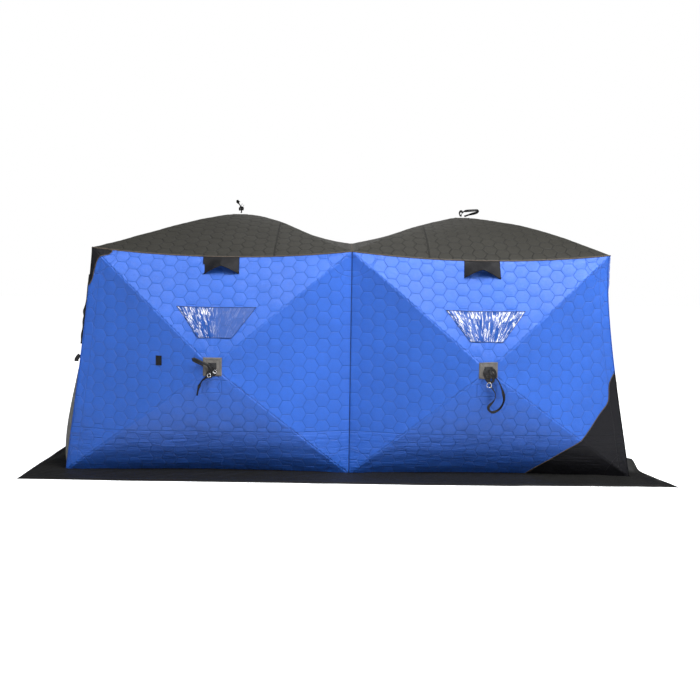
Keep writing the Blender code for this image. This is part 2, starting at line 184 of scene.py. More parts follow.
make_camera()
make_world()
for name, place, aim, size, power in (
    ("key", (2.4, -4.4, 6.8), (0.4, -0.6, 0.9), 3.6, 500),
    ("right", (5.0, -3.0, 6.0), (0.4, -0.6, 0.9), 3.0, 200),
    ("right_front", (5.5, -6.0, 4.5), (0.4, -0.6, 0.9), 3.0, 140),
    ("left_front", (-3.5, -5.0, 6.5), (-0.4, -0.6, 0.9), 3.0, 255),
    ("back", (0.0, 6.5, 5.6), (0.0, 0.6, 1.2), 4.0, 28),
    ("top", (0.0, 0.4, 7.0), (0.0, 0.0, 1.0), 4.5, 100),
):
    area_light(name, place, aim, size, power)
bpy.context.scene.view_settings.view_transform = "Standard"


# ---- materials


class Value:
    """A number or colour made by a node, so that a sum of them is written as a sum."""

    def __init__(self, nodes, socket):
        self.nodes, self.socket = nodes, socket

    def __add__(self, other):
        return self.nodes.math("ADD", self, other)

    def __sub__(self, other):
        return self.nodes.math("SUBTRACT", self, other)

    def __rsub__(self, other):
        return self.nodes.math("SUBTRACT", other, self)

    def __mul__(self, other):
        return self.nodes.math("MULTIPLY", self, other)

    def __pow__(self, other):
        return self.nodes.math("POWER", self, other)

    def __abs__(self):
        return self.nodes.math("ABSOLUTE", self)

    def max(self, other):
        return self.nodes.math("MAXIMUM", self, other)

    def min(self, other):
        return self.nodes.math("MINIMUM", self, other)

    def wrap(self, half):
        return self.nodes.math("WRAP", self, half, -half)


class Nodes:
    """Builds one material's node tree."""

    def __init__(self, name):
        self.material = bpy.data.materials.new(name)
        self.material.use_nodes = True
        self.tree = self.material.node_tree
        self.shader = self.tree.nodes["Principled BSDF"]

    def put(self, socket, value):
        if isinstance(value, Value):
            value = value.socket
        if isinstance(value, bpy.types.NodeSocket):
            self.tree.links.new(value, socket)
        elif isinstance(value, tuple) and len(value) == 3 and socket.type == "RGBA":
            socket.default_value = (*value, 1.0)
        else:
            socket.default_value = value

    def node(self, kind, settings=None, **inputs):
        made = self.tree.nodes.new("ShaderNode" + kind)
        for key, value in (settings or {}).items():
            setattr(made, key, value)
        for key, value in inputs.items():
            self.put(made.inputs[key.replace("_", " ")], value)
        return made

    def math(self, operation, *values):
        made = self.node("Math", {"operation": operation})
        for socket, value in zip(made.inputs, values):
            self.put(socket, value)
        return Value(self, made.outputs[0])

    def ramp(self, value, low, high, to_low=0.0, to_high=1.0):
        """A smooth step from to_low at low to to_high at high."""
        made = self.node("MapRange", {"interpolation_type": "SMOOTHSTEP"})
        keys = "Value", "From Min", "From Max", "To Min", "To Max"
        for key, given in zip(keys, (value, low, high, to_low, to_high)):
            self.put(made.inputs[key], given)
        return Value(self, made.outputs[0])

    def mix(self, share, a, b, blend="MIX"):
        made = self.node("Mix", {"data_type": "RGBA", "blend_type": blend})
        for k, given in ((0, share), (6, a), (7, b)):
            self.put(made.inputs[k], given)
        return Value(self, made.outputs[2])

    def tinted(self, colour, shade):
        made = self.node("CombineXYZ", X=shade, Y=shade, Z=shade)
        return self.mix(1.0, colour, made.outputs[0], "MULTIPLY")

    def noise(self, vector, scale, detail=3.0, roughness=0.55):
        made = self.node("TexNoise", Vector=vector, Scale=scale, Detail=detail, Roughness=roughness)
        return Value(self, made.outputs[0])

    def attribute(self, name):
        return Value(self, self.node("Attribute", {"attribute_name": name}).outputs["Fac"])

    def own_place(self):
        return self.node("TexCoord").outputs["Object"]

    def parts(self, vector):
        """The first two parts of a vector."""
        made = self.node("SeparateXYZ", Vector=vector)
        return Value(self, made.outputs[0]), Value(self, made.outputs[1])

    def moved(self, vector, by, operation="MULTIPLY"):
        made = self.node("VectorMath", {"operation": operation})
        self.put(made.inputs[0], vector)
        made.inputs[1].default_value = by
        return made.outputs[0]

    def bump(self, height, distance, strength=1.0, under=None):
        made = self.node("Bump", Strength=strength, Distance=distance, Height=height)
        if under is not None:
            self.put(made.inputs["Normal"], under)
        return Value(self, made.outputs[0])

    def finish(self, colour, roughness, normal, **fixed):
        fixed.update(Base_Color=colour, Roughness=roughness, Normal=normal)
        for key, value in fixed.items():
            self.put(self.shader.inputs[key.replace("_", " ")], value)
        return self.material


def plane_place(n):
    """The material's place in the cloth's own flat cut, in metres."""
    return n.node("UVMap", {"uv_map": "cut"}).outputs[0]


def weave(n, vector, pitch):
    """Crossed threads, from 0 between them to 1 on top of them."""
    x, y = [abs(n.math("SINE", part * (math.pi / pitch))) for part in n.parts(vector)]
    return x * y


def edge_of_cell(x, y):
    """How far a place is from the nearest stitched line of the hexagons, in metres."""
    found = []
    for shift in (0.0, 1.0):
        across = abs((x + shift * 1.5 * SIDE).wrap(1.5 * SIDE))
        up = abs((y + shift * CELL / 2).wrap(CELL / 2))
        found.append(up.max(across * (math.sqrt(3) / 2) + up * 0.5))
    return CELL / 2 - found[0].min(found[1])


def line_at(n, value, place, half_width):
    """1 on a line where value is place, 0 off it."""
    return n.ramp(abs(value - place), half_width * 0.5, half_width * 1.5, 1.0, 0.0)


def quilt(name, colour, column=None, shine=0.55, groove_shade=0.87, line=1.0):
    """Quilted shell cloth: with a sewn column on a roof, or else with the walls' other stitching.

    Where the cloth's "plain" value is above 0 it is black nylon instead.
    """
    n = Nodes(name)
    cut = plane_place(n)
    x, y = n.parts(cut)
    drift = (n.noise(cut, 9.0, 2.0) - 0.5) * 0.006
    groove = n.ramp(edge_of_cell(x + drift, y + drift), 0.0006 * line, 0.0036 * line, 1.0, 0.0)
    sewn = groove * n.attribute("quilted")
    if column is None:
        (across, up), (half, tall) = FRAME_MIDDLE, FRAME_HALF
        sewn = sewn.max(line_at(n, y + drift, STITCHED_ROW, 0.0035))
        sewn = sewn.max(line_at(n, n.attribute("rim"), RIM_LINE, 0.0026))
        sewn = sewn.max(line_at(n, n.attribute("corner") + drift, CORNER_ARC, 0.0026))
        sewn = sewn.max(line_at(n, (abs(x - across) - half).max(abs(y - up) - tall), 0.0, 0.003))
    else:
        sewn = sewn.max(line_at(n, x + drift, column, 0.0035 * line))
    threads = weave(n, cut, 0.0016)
    cloud, mottle = n.noise(cut, 2.3, 4.0), n.noise(cut, 38.0, 3.0)
    shade = n.ramp(cloud, 0.3, 0.7, 0.93, 1.05) + n.ramp(mottle, 0.3, 0.7, -0.03, 0.03)
    # Painted shade: the cloth is darker along its stitched grooves and seam lines.
    shade = shade * n.ramp(sewn, 0.0, 1.0, 1.0, groove_shade) * n.ramp(threads, 0.0, 0.8, 0.95, 1.02)
    plain = n.ramp(n.attribute("plain"), -0.0015, 0.0015)
    crumple = n.noise(n.moved(cut, (1.0, 2.6, 1.0)), 24.0, 4.0, 0.6)
    height = sewn * -1.1 + crumple * 0.42
    if column is None:
        creased = n.noise(n.moved(cut, (5.0, 46.0, 1.0)), 1.0, 3.0, 0.62)
        height = height + creased * n.ramp(y, -CRUMPLED_TO, -CRUMPLED_FROM, 3.2, 0.0)
    return n.finish(
        n.mix(plain, n.tinted(colour, shade), n.tinted(BLACK, shade)),
        n.ramp(mottle, 0.2, 0.8, 0.44, 0.56) + sewn * 0.1,
        n.bump(threads, 0.0004, 0.5, n.bump(height, 0.003, 0.75)),
        Sheen_Weight=0.06,
        Sheen_Roughness=0.4,
        Specular_IOR_Level=n.ramp(plain, 0.0, 1.0, shine, 0.14),
    )


def woven(name, colour, pitch=0.0018, roughness=0.6, sheen=0.1, crumpled=0.5, specular=0.35):
    """Plain woven cloth or webbing, in the object's own space."""
    n = Nodes(name)
    place = n.own_place()
    threads = weave(n, n.node("Mapping", Vector=place, Rotation=(0.6, 0.5, 0.7)).outputs[0], pitch)
    mottle = n.noise(place, 30.0, 4.0)
    folds = n.noise(n.moved(place, (1.0, 1.0, 2.2)), 14.0, 4.0, 0.6)
    shade = n.ramp(mottle, 0.25, 0.75, 0.82, 1.15) * n.ramp(threads, 0.0, 0.8, 0.85, 1.06)
    return n.finish(
        n.tinted(colour, shade),
        n.ramp(mottle, 0.2, 0.8, roughness - 0.06, roughness + 0.06),
        n.bump(threads, 0.0006, 0.5, n.bump(folds, 0.006 * crumpled + 0.0005, 0.6)),
        Sheen_Weight=sheen,
        Specular_IOR_Level=specular,
    )


def moulded(name, colour, roughness, grain=420.0, metallic=0.0):
    """Moulded plastic or plated metal with a fine grain and light wear."""
    n = Nodes(name)
    place = n.own_place()
    fine, wear = n.noise(place, grain, 3.0), n.noise(place, 45.0, 4.0, 0.65)
    return n.finish(
        n.tinted(colour, n.ramp(wear, 0.3, 0.75, 0.85, 1.25)),
        n.ramp(wear, 0.25, 0.75, roughness - 0.08, roughness + 0.12),
        n.bump(fine, 0.0004, 0.5),
        Metallic=metallic,
    )


def film(name):
    """Clear window film over the blue cover behind it, with painted white highlights along creases fanning
    out from its base.
    """
    n = Nodes(name)
    cut = plane_place(n)
    x, y = n.parts(cut)
    crinkled = n.attribute("crinkled")
    warp = (n.noise(cut, 11.0, 3.0) - 0.5) * 0.16
    spread = n.node("CombineXYZ", X=n.attribute("fan") + warp, Y=y * 0.5).outputs[0]
    painted_highlights = []
    for scale, width, seed in ((5.0, 0.013, 0.0), (10.0, 0.015, 4.0)):
        creases = n.noise(n.moved(spread, (seed, seed, 0.0), "ADD"), scale, 2.5, 0.5)
        painted_highlights.append(n.ramp(abs(creases - 0.5), width * 0.3, width, 1.0, 0.0))
    patchy = n.ramp(n.noise(cut, 24.0, 2.0), 0.32, 0.48)
    # Painted highlights: near-white colour along the creases.
    painted_highlight = painted_highlights[0].max(painted_highlights[1]) * patchy * crinkled**1.6
    # Painted shade: the cover's stitched lines show darker through the film.
    behind = n.ramp(edge_of_cell(x, y), 0.0006, 0.0040, 1.0, 0.0)
    deep = n.mix(n.noise(cut, 20.0, 3.0), (0.014, 0.062, 0.290), (0.026, 0.110, 0.450))
    deep = n.mix(behind * 0.35, deep, (0.008, 0.035, 0.170))
    border = n.ramp(n.attribute("inset"), 0.0015, 0.0040, 0.75, 0.0)
    return n.finish(
        n.mix(border, n.mix(painted_highlight, deep, (0.90, 0.90, 0.92)), (0.006, 0.024, 0.110)),
        n.ramp(crinkled, 0.2, 1.0, 0.50, 0.26),
        n.bump(creases * crinkled, 0.004, 0.5),
        Coat_Weight=0.12,
        Coat_Roughness=0.10,
    )


BLUE = (0.0165, 0.122, 0.600)
BLACK = (0.0080, 0.0080, 0.0105)
ROOF_GREY = (0.0245, 0.0235, 0.0190)

materials = {
    "wall": quilt("wall_quilt", BLUE),
    # The roof quilts carry heavier painted shade along their stitching than the wall quilt.
    "roof_left": quilt("roof_quilt_left", ROOF_GREY, 0.388, 0.25, 0.36, 1.6),
    "roof_right": quilt("roof_quilt_right", ROOF_GREY, -0.390, 0.25, 0.36, 1.6),
    "lining": woven("lining", (0.020, 0.021, 0.024), 0.002, 0.6),
    "nylon": woven("black_nylon_cloth", (0.0080, 0.0080, 0.0095), 0.0015, 0.50, 0.02, 1.0, 0.16),
    "skirt": woven("black_skirt_cloth", (0.0085, 0.0085, 0.0080), 0.0015, 0.52, 0.02, 1.6, 0.22),
    "mesh": woven("vent_mesh", (0.0040, 0.0040, 0.0045), 0.0030, 0.9, 0.0, 0.2, 0.1),
    "webbing": woven("black_webbing", (0.0060, 0.0060, 0.0066), 0.0030, 0.46, 0.0, 0.2, 0.22),
    "patch": woven("grey_patch_cloth", (0.170, 0.160, 0.150), 0.0026, 0.75, 0.1, 0.3),
    "tape": woven("grey_tape", (0.150, 0.150, 0.145), 0.0024, 0.7, 0.1, 0.2),
    "piping": woven("brown_piping", (0.085, 0.065, 0.048), 0.0016, 0.7, 0.1, 0.2),
    "blue_binding": woven("blue_binding", (0.022, 0.100, 0.450), 0.0016, 0.6, 0.1, 0.2),
    "dark_binding": woven("dark_binding", (0.009, 0.030, 0.130), 0.0016, 0.6, 0.1, 0.2),
    "hub": moulded("hub_plastic", (0.016, 0.016, 0.018), 0.42),
    "pole": moulded("pole_plastic", (0.030, 0.030, 0.033), 0.32, 700.0),
    "ring": moulded("plated_ring", (0.62, 0.62, 0.63), 0.28, 300.0, 1.0),
    "film": film("window_film"),
}


# ---- mesh helpers


def hashed(i, j, seed):
    n = (i * 374761393 + j * 668265263 + seed * 1442695041) & 0xFFFFFFFF
    n = ((n ^ (n >> 13)) * 1274126177) & 0xFFFFFFFF
    return ((n ^ (n >> 16)) & 0xFFFF) / 65535.0


def noise(x, y, seed=0):
    """Smooth noise from -1 to 1 on a grid of whole numbers, the same on every run."""
    x, y = np.broadcast_arrays(np.asarray(x, float), np.asarray(y, float))
    i, j = np.floor(x).astype(np.int64), np.floor(y).astype(np.int64)
    u, v = x - i, y - j
    u, v = u * u * (3 - 2 * u), v * v * (3 - 2 * v)
    low = hashed(i, j, seed) * (1 - u) + hashed(i + 1, j, seed) * u
    high = hashed(i, j + 1, seed) * (1 - u) + hashed(i + 1, j + 1, seed) * u
    return 2 * (low * (1 - v) + high * v) - 1


def ease(value, low, high):
    t = np.clip((value - low) / (high - low), 0.0, 1.0)
    return t * t * (3 - 2 * t)


def mesh_object(name, points, faces, surfaces, smooth=True):
    mesh = bpy.data.meshes.new(name)
    mesh.from_pydata([tuple(p) for p in points], [], [tuple(f) for f in faces])
    for surface in surfaces:
        mesh.materials.append(materials[surface])
    mesh.polygons.foreach_set("use_smooth", [smooth] * len(mesh.polygons))
    mesh.update()
    ob = bpy.data.objects.new(name, mesh)
    bpy.context.scene.collection.objects.link(ob)
    return ob


def add_values(ob, **values):
    for name, given in values.items():
        attribute = ob.data.attributes.new(name, "FLOAT", "POINT")
        attribute.data.foreach_set("value", np.asarray(given, np.float32))


def add_cut(ob, flat):
    """Stores each point's place in the flat cut, in metres, as a UV map."""
    layer = ob.data.uv_layers.new(name="cut")
    index = np.zeros(len(ob.data.loops), np.int32)
    ob.data.loops.foreach_get("vertex_index", index)
    layer.data.foreach_set("uv", np.asarray(flat, np.float32)[index].ravel())


def thicken(ob, thickness, offset=-1.0, lining=0):
    solid = ob.modifiers.new("thickness", "SOLIDIFY")
    solid.thickness = thickness
    solid.offset = offset
    solid.material_offset = lining
    return ob


def smooth_line(points, count):
    """A smooth curve through given points, evenly cut into count points."""
    p = np.array(points, float)
    p = np.vstack([2 * p[0] - p[1], p, 2 * p[-1] - p[-2]])
    t = np.linspace(0, 1, 40, endpoint=False)[:, None]
    parts = []
    for k in range(1, len(p) - 2):
        a, b, c, d = p[k - 1 : k + 3]
        bend = (2 * a - 5 * b + 4 * c - d) * t**2 + (3 * b - a - 3 * c + d) * t**3
        parts.append(0.5 * (2 * b + (c - a) * t + bend))
    line = np.vstack(parts + [p[-2:-1]])
    along = np.concatenate([[0], np.cumsum(np.linalg.norm(np.diff(line, axis=0), axis=1))])
    wanted = np.linspace(0, along[-1], count)
    return np.stack([np.interp(wanted, along, line[:, k]) for k in range(line.shape[1])], axis=1)


def grid(rows, wide, close=False, ring=False):
    """The faces of rows of points: close joins the last row to the first, ring joins each row's ends."""
    faces = []
    for i in range(rows if close else rows - 1):
        j = (i + 1) % rows
        for k in range(wide if ring else wide - 1):
            m = (k + 1) % wide
            faces.append((i * wide + k, i * wide + m, j * wide + m, j * wide + k))
    return faces


def sweep(line, section, closed=False, facing=None, sizes=1.0):
    """Points and faces of a section, as (side, out) pairs, carried along a line and sized at each point.

    facing turns the section's out that way.
    """
    line = np.array(line, float)
    if closed:
        ahead = np.roll(line, -1, axis=0) - np.roll(line, 1, axis=0)
    else:
        ahead = np.gradient(line, axis=0)
    ahead /= np.linalg.norm(ahead, axis=1)[:, None]
    if facing is None:
        facing = np.array([0.0, 0.0, 1.0]) if abs(ahead[0][2]) < 0.9 else np.array([1.0, 0.0, 0.0])
    facing = np.broadcast_to(np.array(facing, float), line.shape)
    side = np.cross(ahead, facing)
    side /= np.linalg.norm(side, axis=1)[:, None]
    out = np.cross(side, ahead)
    count = len(section)
    ring = np.broadcast_to(sizes, len(line))[:, None, None] * np.array(section, float)
    points = line[:, None] + side[:, None] * ring[..., 0, None] + out[:, None] * ring[..., 1, None]
    faces = grid(len(line), count, closed, ring=True)
    if not closed:
        faces.append(tuple(reversed(range(count))))
        faces.append(tuple((len(line) - 1) * count + k for k in range(count)))
    return points.reshape(-1, 3), faces


def round_section(radius, sides=8):
    turns = [2 * math.pi * k / sides for k in range(sides)]
    return [(radius * math.cos(a), -radius * math.sin(a)) for a in turns]


def strap_section(width, thickness):
    """Flat webbing with rounded edges."""
    w, t = width / 2, thickness / 2
    return [(-w, 0), (-w + t, t), (0, t * 1.1), (w - t, t), (w, 0), (w - t, -t), (0, -t * 1.1), (-w + t, -t)]


def tube(name, line, radius, surface, closed=False, sides=8):
    points, faces = sweep(line, round_section(radius, sides), closed)
    return mesh_object(name, points, faces, [surface])


# ---- the shell's corners and panels

roof_low, roof_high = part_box("roof_left")
wall_low, wall_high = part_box("front_wall_left")
TOP_X, TOP_Y, EAVE_Z = -roof_low.x, roof_high.y, wall_high.z
BASE_X, BASE_Y, BASE_Z = -wall_low.x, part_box("end_wall_left")[1].y, wall_low.z


def corner(side, end, top):
    if top:
        return Vector((side * TOP_X, end * TOP_Y, EAVE_Z))
    return Vector((side * BASE_X, end * BASE_Y, BASE_Z))


def seam_bow(a, b):
    """How far the middle of the seam from a to b is pulled off the straight line."""
    middle = (a + b) / 2
    side = math.copysign(1, middle.x)
    end = math.copysign(1, middle.y)
    if a.z > 1 and b.z > 1:
        if abs(middle.y) < 0.01 and abs(middle.x) < 0.01:
            return Vector((0, 0, VALLEY_RISE))
        if abs(middle.y) < 0.01:
            return Vector((-side * 0.02, 0, -EAVE_SAG))
        return Vector((0, -end * 0.02, -EAVE_SAG))
    if a.z < 1 and b.z < 1:
        return Vector((-side * 0.030, 0, 0)) if abs(middle.y) < 0.01 else Vector((0, -end * 0.050, 0))
    if abs(middle.x) < 0.01:
        return Vector((0, -end * 0.028, 0))
    return Vector((-0.042 if side > 0 else 0.004, -end * 0.022, 0))


def seam_pull(a, b, s):
    """How much of a seam's bow is reached a share s of the way from a to b.

    Corner seams bow most near their top.
    """
    if abs(a.z - b.z) < 1:
        return 4 * s * (1 - s)
    down = s if a.z > b.z else 1 - s
    return np.sin(math.pi * down**0.62)


def seam_line(a, b, count=41):
    s = np.linspace(0, 1, count)[:, None]
    return np.array(a) * (1 - s) + np.array(b) * s + np.array(seam_bow(a, b)) * seam_pull(a, b, s)


class Panel:
    """One wall or roof panel: four gussets of cloth round a hub, in the panel's own flat plane."""

    def __init__(self, name, hub, keys, roof=False):
        joint = joints[hub + "_pop"]
        corners = [corner(*key) for key in keys]
        self.name, self.hub, self.roof = name, hub, roof
        self.out = Vector(joint["axis"]).normalized()
        self.rise = -joint["range_m"][0] / 2
        low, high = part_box(hub)
        middle = (low + high) / 2
        self.corners = corners
        self.base = middle - self.out * (middle - corners[0]).dot(self.out)
        self.across = Vector((1, 0, 0)) if roof else Vector((0, 0, 1)).cross(self.out).normalized()
        self.up = self.out.cross(self.across)
        self.flat = [np.array(self.in_plane(c)) for c in corners]
        self.bow = ROOF_BOWS[name] if roof else WALL_BOW
        self.skew = BOW_SKEW.get(name, 1.0)
        self.sag = ROOF_SAG if roof else WALL_SAG

    def in_plane(self, point):
        away = Vector(point) - self.base
        return away.dot(self.across), away.dot(self.up)

    def edge(self, i):
        """The gusset's seam: its start, direction, length, inward direction and distance from the hub."""
        a, b = self.flat[i], self.flat[(i + 1) % 4]
        length = np.linalg.norm(b - a)
        along = (b - a) / length
        inward = np.array([-along[1], along[0]])
        if inward @ -a < 0:
            inward = -inward
        return a, along, length, inward, inward @ -a

    def share(self, i, x, y):
        """How far along the seam, and how far from the seam to the hub, a place is, both from 0 to 1."""
        a, along, length, inward, distance = self.edge(i)
        q = np.stack([x, y], axis=-1)
        t = np.clip((q - a) @ inward / distance, 0.0, 1.0)
        s = ((q / np.maximum(1 - t, 1e-4)[..., None] - a) @ along) / length
        return np.clip(s, 0.0, 1.0), t

    def relief(self, x, y, t, quilted):
        """The quilt's padding and the cloth's wrinkles at a place, in metres outwards."""
        pinned = ease(t, 0.0, 0.035)
        best, cell = np.full(x.shape, 9.0), np.zeros(x.shape)
        for shift in (0, 1):
            px, py = x + shift * 1.5 * SIDE, y + shift * CELL / 2
            ci, cj = np.round(px / (3 * SIDE)), np.round(py / CELL)
            dx, dy = np.abs(px - ci * 3 * SIDE), np.abs(py - cj * CELL)
            d = np.maximum(dy, dx * math.sqrt(3) / 2 + dy / 2) / (CELL / 2)
            lot = hashed(ci.astype(np.int64), cj.astype(np.int64), 7 + shift)
            cell = np.where(d < best, lot, cell)
            best = np.minimum(best, d)
        puff = PUFF * (1 - np.clip(best, 0, 1) ** 4) * (0.6 + 0.8 * cell) * quilted
        puff = puff * (0.5 if self.roof else 1.0)
        swell = 0.004 * noise(x * 2.3, y * 2.3, 1) + 0.0022 * noise(x * 7.0, y * 6.0, 2)
        folds = np.zeros(x.shape)
        for k, (cx, cy) in enumerate(self.flat):
            r, turn = np.hypot(x - cx, y - cy), np.arctan2(y - cy, x - cx)
            folds += 0.0058 * noise(turn * 19, r * 1.3, 11 + k) * np.exp(-r / 0.22) * ease(r, 0.0, 0.10)
        r, turn = np.hypot(x, y), np.arctan2(y, x)
        near_hub = np.exp(-np.maximum(r - 0.09, 0) / 0.10) * ease(r, 0.07, 0.14)
        folds += 0.0045 * noise(turn * 9, r * 2.0, 17) * near_hub
        if not self.roof:
            low = ease(-y, CRUMPLED_FROM, CRUMPLED_TO)
            folds += 0.0016 * noise(x * 3.1, y * 30.0, 23) * low + 0.0013 * noise(x * 8.0, y * 25.0, 24) * low
            puff = puff * (1 - 0.65 * low)
        flat_hub = 1 - ease(t, 0.90, 0.935)
        return (puff + swell + folds) * pinned * flat_hub

    def place(self, i, x, y, quilted=1.0, lift=0.0):
        """Points of gusset i's cloth at in-plane places, in the row frame."""
        s, t = self.share(i, x, y)
        u = np.minimum(1.0, t / (1 - FLAT_SHARE))
        bow = self.bow[i] * (1 - s) + self.bow[(i + 1) % 4] * s
        height = self.rise * u + bow * np.sin(math.pi * u**self.skew)
        lean = 0.75 if self.sag[i] < 0 else 1.0
        height = height - self.sag[i] * 4 * s * (1 - s) * np.sin(math.pi * u**lean)
        height = height + self.relief(x, y, t, quilted) + lift
        ends = self.corners[i], self.corners[(i + 1) % 4]
        pull = np.array(seam_bow(*ends))
        shape = (seam_pull(*ends, s) * (1 - t) ** 2)[..., None]
        return (
            np.array(self.base)
            + x[..., None] * np.array(self.across)
            + y[..., None] * np.array(self.up)
            + height[..., None] * np.array(self.out)
            + shape * pull
        )

    def blend(self, ob, i):
        """Bakes ob's transform into its mesh, after working out two places on gusset i that it doesn't use.
        """
        *_, inward, distance = self.edge(i)
        for share in (FOLLOW_FROM, FOLLOW_TO):
            x, y = -inward * distance * (1 - share)
            self.base + self.across * x + self.up * y
        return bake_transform(ob)


panels = {}
for side, word in ((-1, "left"), (1, "right")):
    for end, way in ((-1, "front"), (1, "back")):
        keys = [(side, end, 1), (0, end, 1), (0, end, 0), (side, end, 0)]
        panels[f"{way}_{word}"] = Panel(f"{way}_wall_{word}", f"{way}_{word}_hub", keys)
    keys = [(side, -1, 1), (side, 1, 1), (side, 1, 0), (side, -1, 0)]
    panels[f"end_{word}"] = Panel(f"end_wall_{word}", f"end_{word}_hub", keys)
    keys = [(side, -1, 1), (0, -1, 1), (0, 1, 1), (side, 1, 1)]
    panels[f"roof_{word}"] = Panel(f"roof_{word}", f"roof_{word}_hub", keys, roof=True)


def lattice(low, high, step):
    """A sheet of even triangles over a box, with a corner of the triangles at 0, 0."""
    rise = step * math.sqrt(3) / 2
    j0, j1 = math.floor(low[1] / rise) - 1, math.ceil(high[1] / rise) + 1
    i0, i1 = math.floor(low[0] / step) - 2, math.ceil(high[0] / step) + 2
    wide = i1 - i0 + 1
    points, faces = [], []
    for j in range(j0, j1 + 1):
        for i in range(i0, i1 + 1):
            points.append(((i + 0.5 * (j % 2)) * step, j * rise))
    for row in range(j1 - j0):
        odd = (j0 + row) % 2
        for col in range(wide - 1):
            a = row * wide + col
            b, c, d = a + 1, a + wide, a + wide + 1
            faces += [(a, b, d), (a, d, c)] if odd else [(a, b, c), (b, d, c)]
    return np.array(points), np.array(faces)


def sides_of(polygon):
    """Each side of a convex polygon, as a point on it and its unit direction outwards."""
    polygon = np.array(polygon, float)
    middle = polygon.mean(0)
    for a, b in zip(polygon, np.roll(polygon, -1, axis=0)):
        along = (b - a) / np.linalg.norm(b - a)
        out = np.array([along[1], -along[0]])
        yield a, (out if out @ (middle - a) < 0 else -out)


def cut_lattice(polygon, step, hole=None):
    """The lattice inside a convex polygon, and outside a convex hole, with points drawn onto the cuts."""
    polygon = np.array(polygon, float)
    points, faces = lattice(polygon.min(0), polygon.max(0), step)
    inner = list(sides_of(hole)) if hole is not None else []
    every = [(a, out, True) for a, out in sides_of(polygon)] + [(a, out, False) for a, out in inner]
    keep = np.ones(len(faces), bool)
    for a, out, outer in every:
        away = (points - a) @ out
        if outer:
            keep &= (away[faces] < step).any(axis=1)
        near = np.abs(away) < 0.3 * step
        points[near] -= away[near, None] * out
    faces = faces[keep]
    used, faces = np.unique(faces, return_inverse=True)
    points, faces = points[used], faces.reshape(-1, 3)
    mesh = bpy.data.meshes.new("cut")
    mesh.from_pydata([(x, y, 0.0) for x, y in points], [], faces.tolist())
    bm = bmesh.new()
    bm.from_mesh(mesh)
    bpy.data.meshes.remove(mesh)
    for a, out, outer in every:
        bmesh.ops.bisect_plane(
            bm,
            geom=bm.verts[:] + bm.edges[:] + bm.faces[:],
            dist=1e-5,
            plane_co=(a[0], a[1], 0.0),
            plane_no=(out[0], out[1], 0.0),
            clear_outer=outer,
        )
    if inner:
        middles = [(f, np.array(f.calc_center_median()[:2])) for f in bm.faces]
        inside = [f for f, middle in middles if all((middle - a) @ out < 0 for a, out in inner)]
        bmesh.ops.delete(bm, geom=inside, context="FACES")
    bmesh.ops.dissolve_degenerate(bm, dist=1e-5, edges=bm.edges[:])
    bm.verts.index_update()
    flat = np.array([v.co[:2] for v in bm.verts])
    faces = [tuple(v.index for v in f.verts) for f in bm.faces]
    bm.free()
    return flat, faces


# The edges of the black nylon patches, in their panels' planes.
PATCHES = {
    "front_right": [
        (1.04, -0.03), (1.0, -0.11), (0.985, -0.24), (0.903, -0.339),
        (0.752, -0.521), (0.616, -0.62), (0.392, -0.786), (0.32, -0.86),
    ],
    "end_right": [
        (-1.16, -0.03), (-1.09, -0.24), (-1.0, -0.35),
        (-0.85, -0.521), (-0.70, -0.622), (-0.42, -0.83),
    ],
    "front_left": [
        (-0.775, 0.93), (-0.804, 0.834), (-0.888, 0.793),
        (-0.926, 0.712), (-0.948, 0.634), (-0.99, 0.56),
    ],
    "end_left": [(0.80, 0.93), (0.83, 0.80), (0.93, 0.72), (1.01, 0.60), (1.14, 0.50)],
}
# Which of its panel's corners each patch is at.
PATCH_CORNERS = {"front_right": 3, "end_right": 3, "front_left": 0, "end_left": 0}


def patched(panel, x, y):
    """Above 0 where the panel's cloth is black nylon: a distance from the patch's edge, in metres."""
    key = panel.name.replace("_wall", "")
    if key not in PATCHES:
        return np.full(x.shape, -1.0)
    line = smooth_line(PATCHES[key], 60)
    q = np.stack([x, y], axis=-1)
    along = np.diff(line, axis=0)
    best, sign = np.full(x.shape, 9.0), np.zeros(x.shape)
    for start, step in zip(line, along):
        share = np.clip(((q - start) @ step) / (step @ step), 0, 1)
        gap = q - start - share[..., None] * step
        far = np.hypot(gap[..., 0], gap[..., 1])
        turn = step[0] * gap[..., 1] - step[1] * gap[..., 0]
        sign = np.where(far < best, np.sign(turn), sign)
        best = np.minimum(best, far)
    step, away = along[30], panel.flat[PATCH_CORNERS[key]] - line[30]
    return best * sign * np.sign(step[0] * away[1] - step[1] * away[0])


GUSSETS = {
    "front": ("top", "inner", "base", "outer"),
    "back": ("top", "inner", "base", "outer"),
    "end": ("top", "back", "base", "front"),
    "roof": ("front", "inner", "back", "outer"),
}
# The least area worked out for a sheet with a hole, as a share of its width times its length.
LEAST_SHARE = 0.301


def cloth_piece(name, panel, i, outline, hole=None):
    """One gusset's cloth, or the door's, from its outline in the panel's plane."""
    flat, faces = cut_lattice(outline, STEP, hole)
    x, y = flat.T
    plain = patched(panel, x, y)
    soft = 1 - ease(plain, -0.012, 0.0)
    surface = panel.name if panel.roof else "wall"
    ob = mesh_object(name, panel.place(i, x, y, soft), faces, [surface, "lining"])
    add_cut(ob, flat)
    away = np.min([np.hypot(x - c[0], y - c[1]) for c in panel.flat], axis=0)
    outer = not panel.roof and (i == 3 or panel.name.startswith("end") and i == 1)
    rim = panel.share(i, x, y)[1] * panel.edge(i)[4] if outer else np.full(x.shape, 9.0)
    add_values(ob, quilted=soft, plain=plain, rim=rim, corner=away)
    thicken(ob, CLOTH, lining=1)
    return ob


def door_outline(panel):
    """The door leaf's corners in its panel's plane, from the CAD leaf."""
    mesh = frame["nodes"]["door_leaf"].data
    places = np.array([panel.in_plane(v.co) for v in mesh.vertices])
    middle = places.mean(0)
    turn = np.arctan2(*(places - middle).T[::-1])
    picked = []
    for k in np.argsort(turn):
        if not picked or min(np.linalg.norm(places[k] - p) for p in picked) > 0.05:
            picked.append(places[k])
    return np.array(picked)


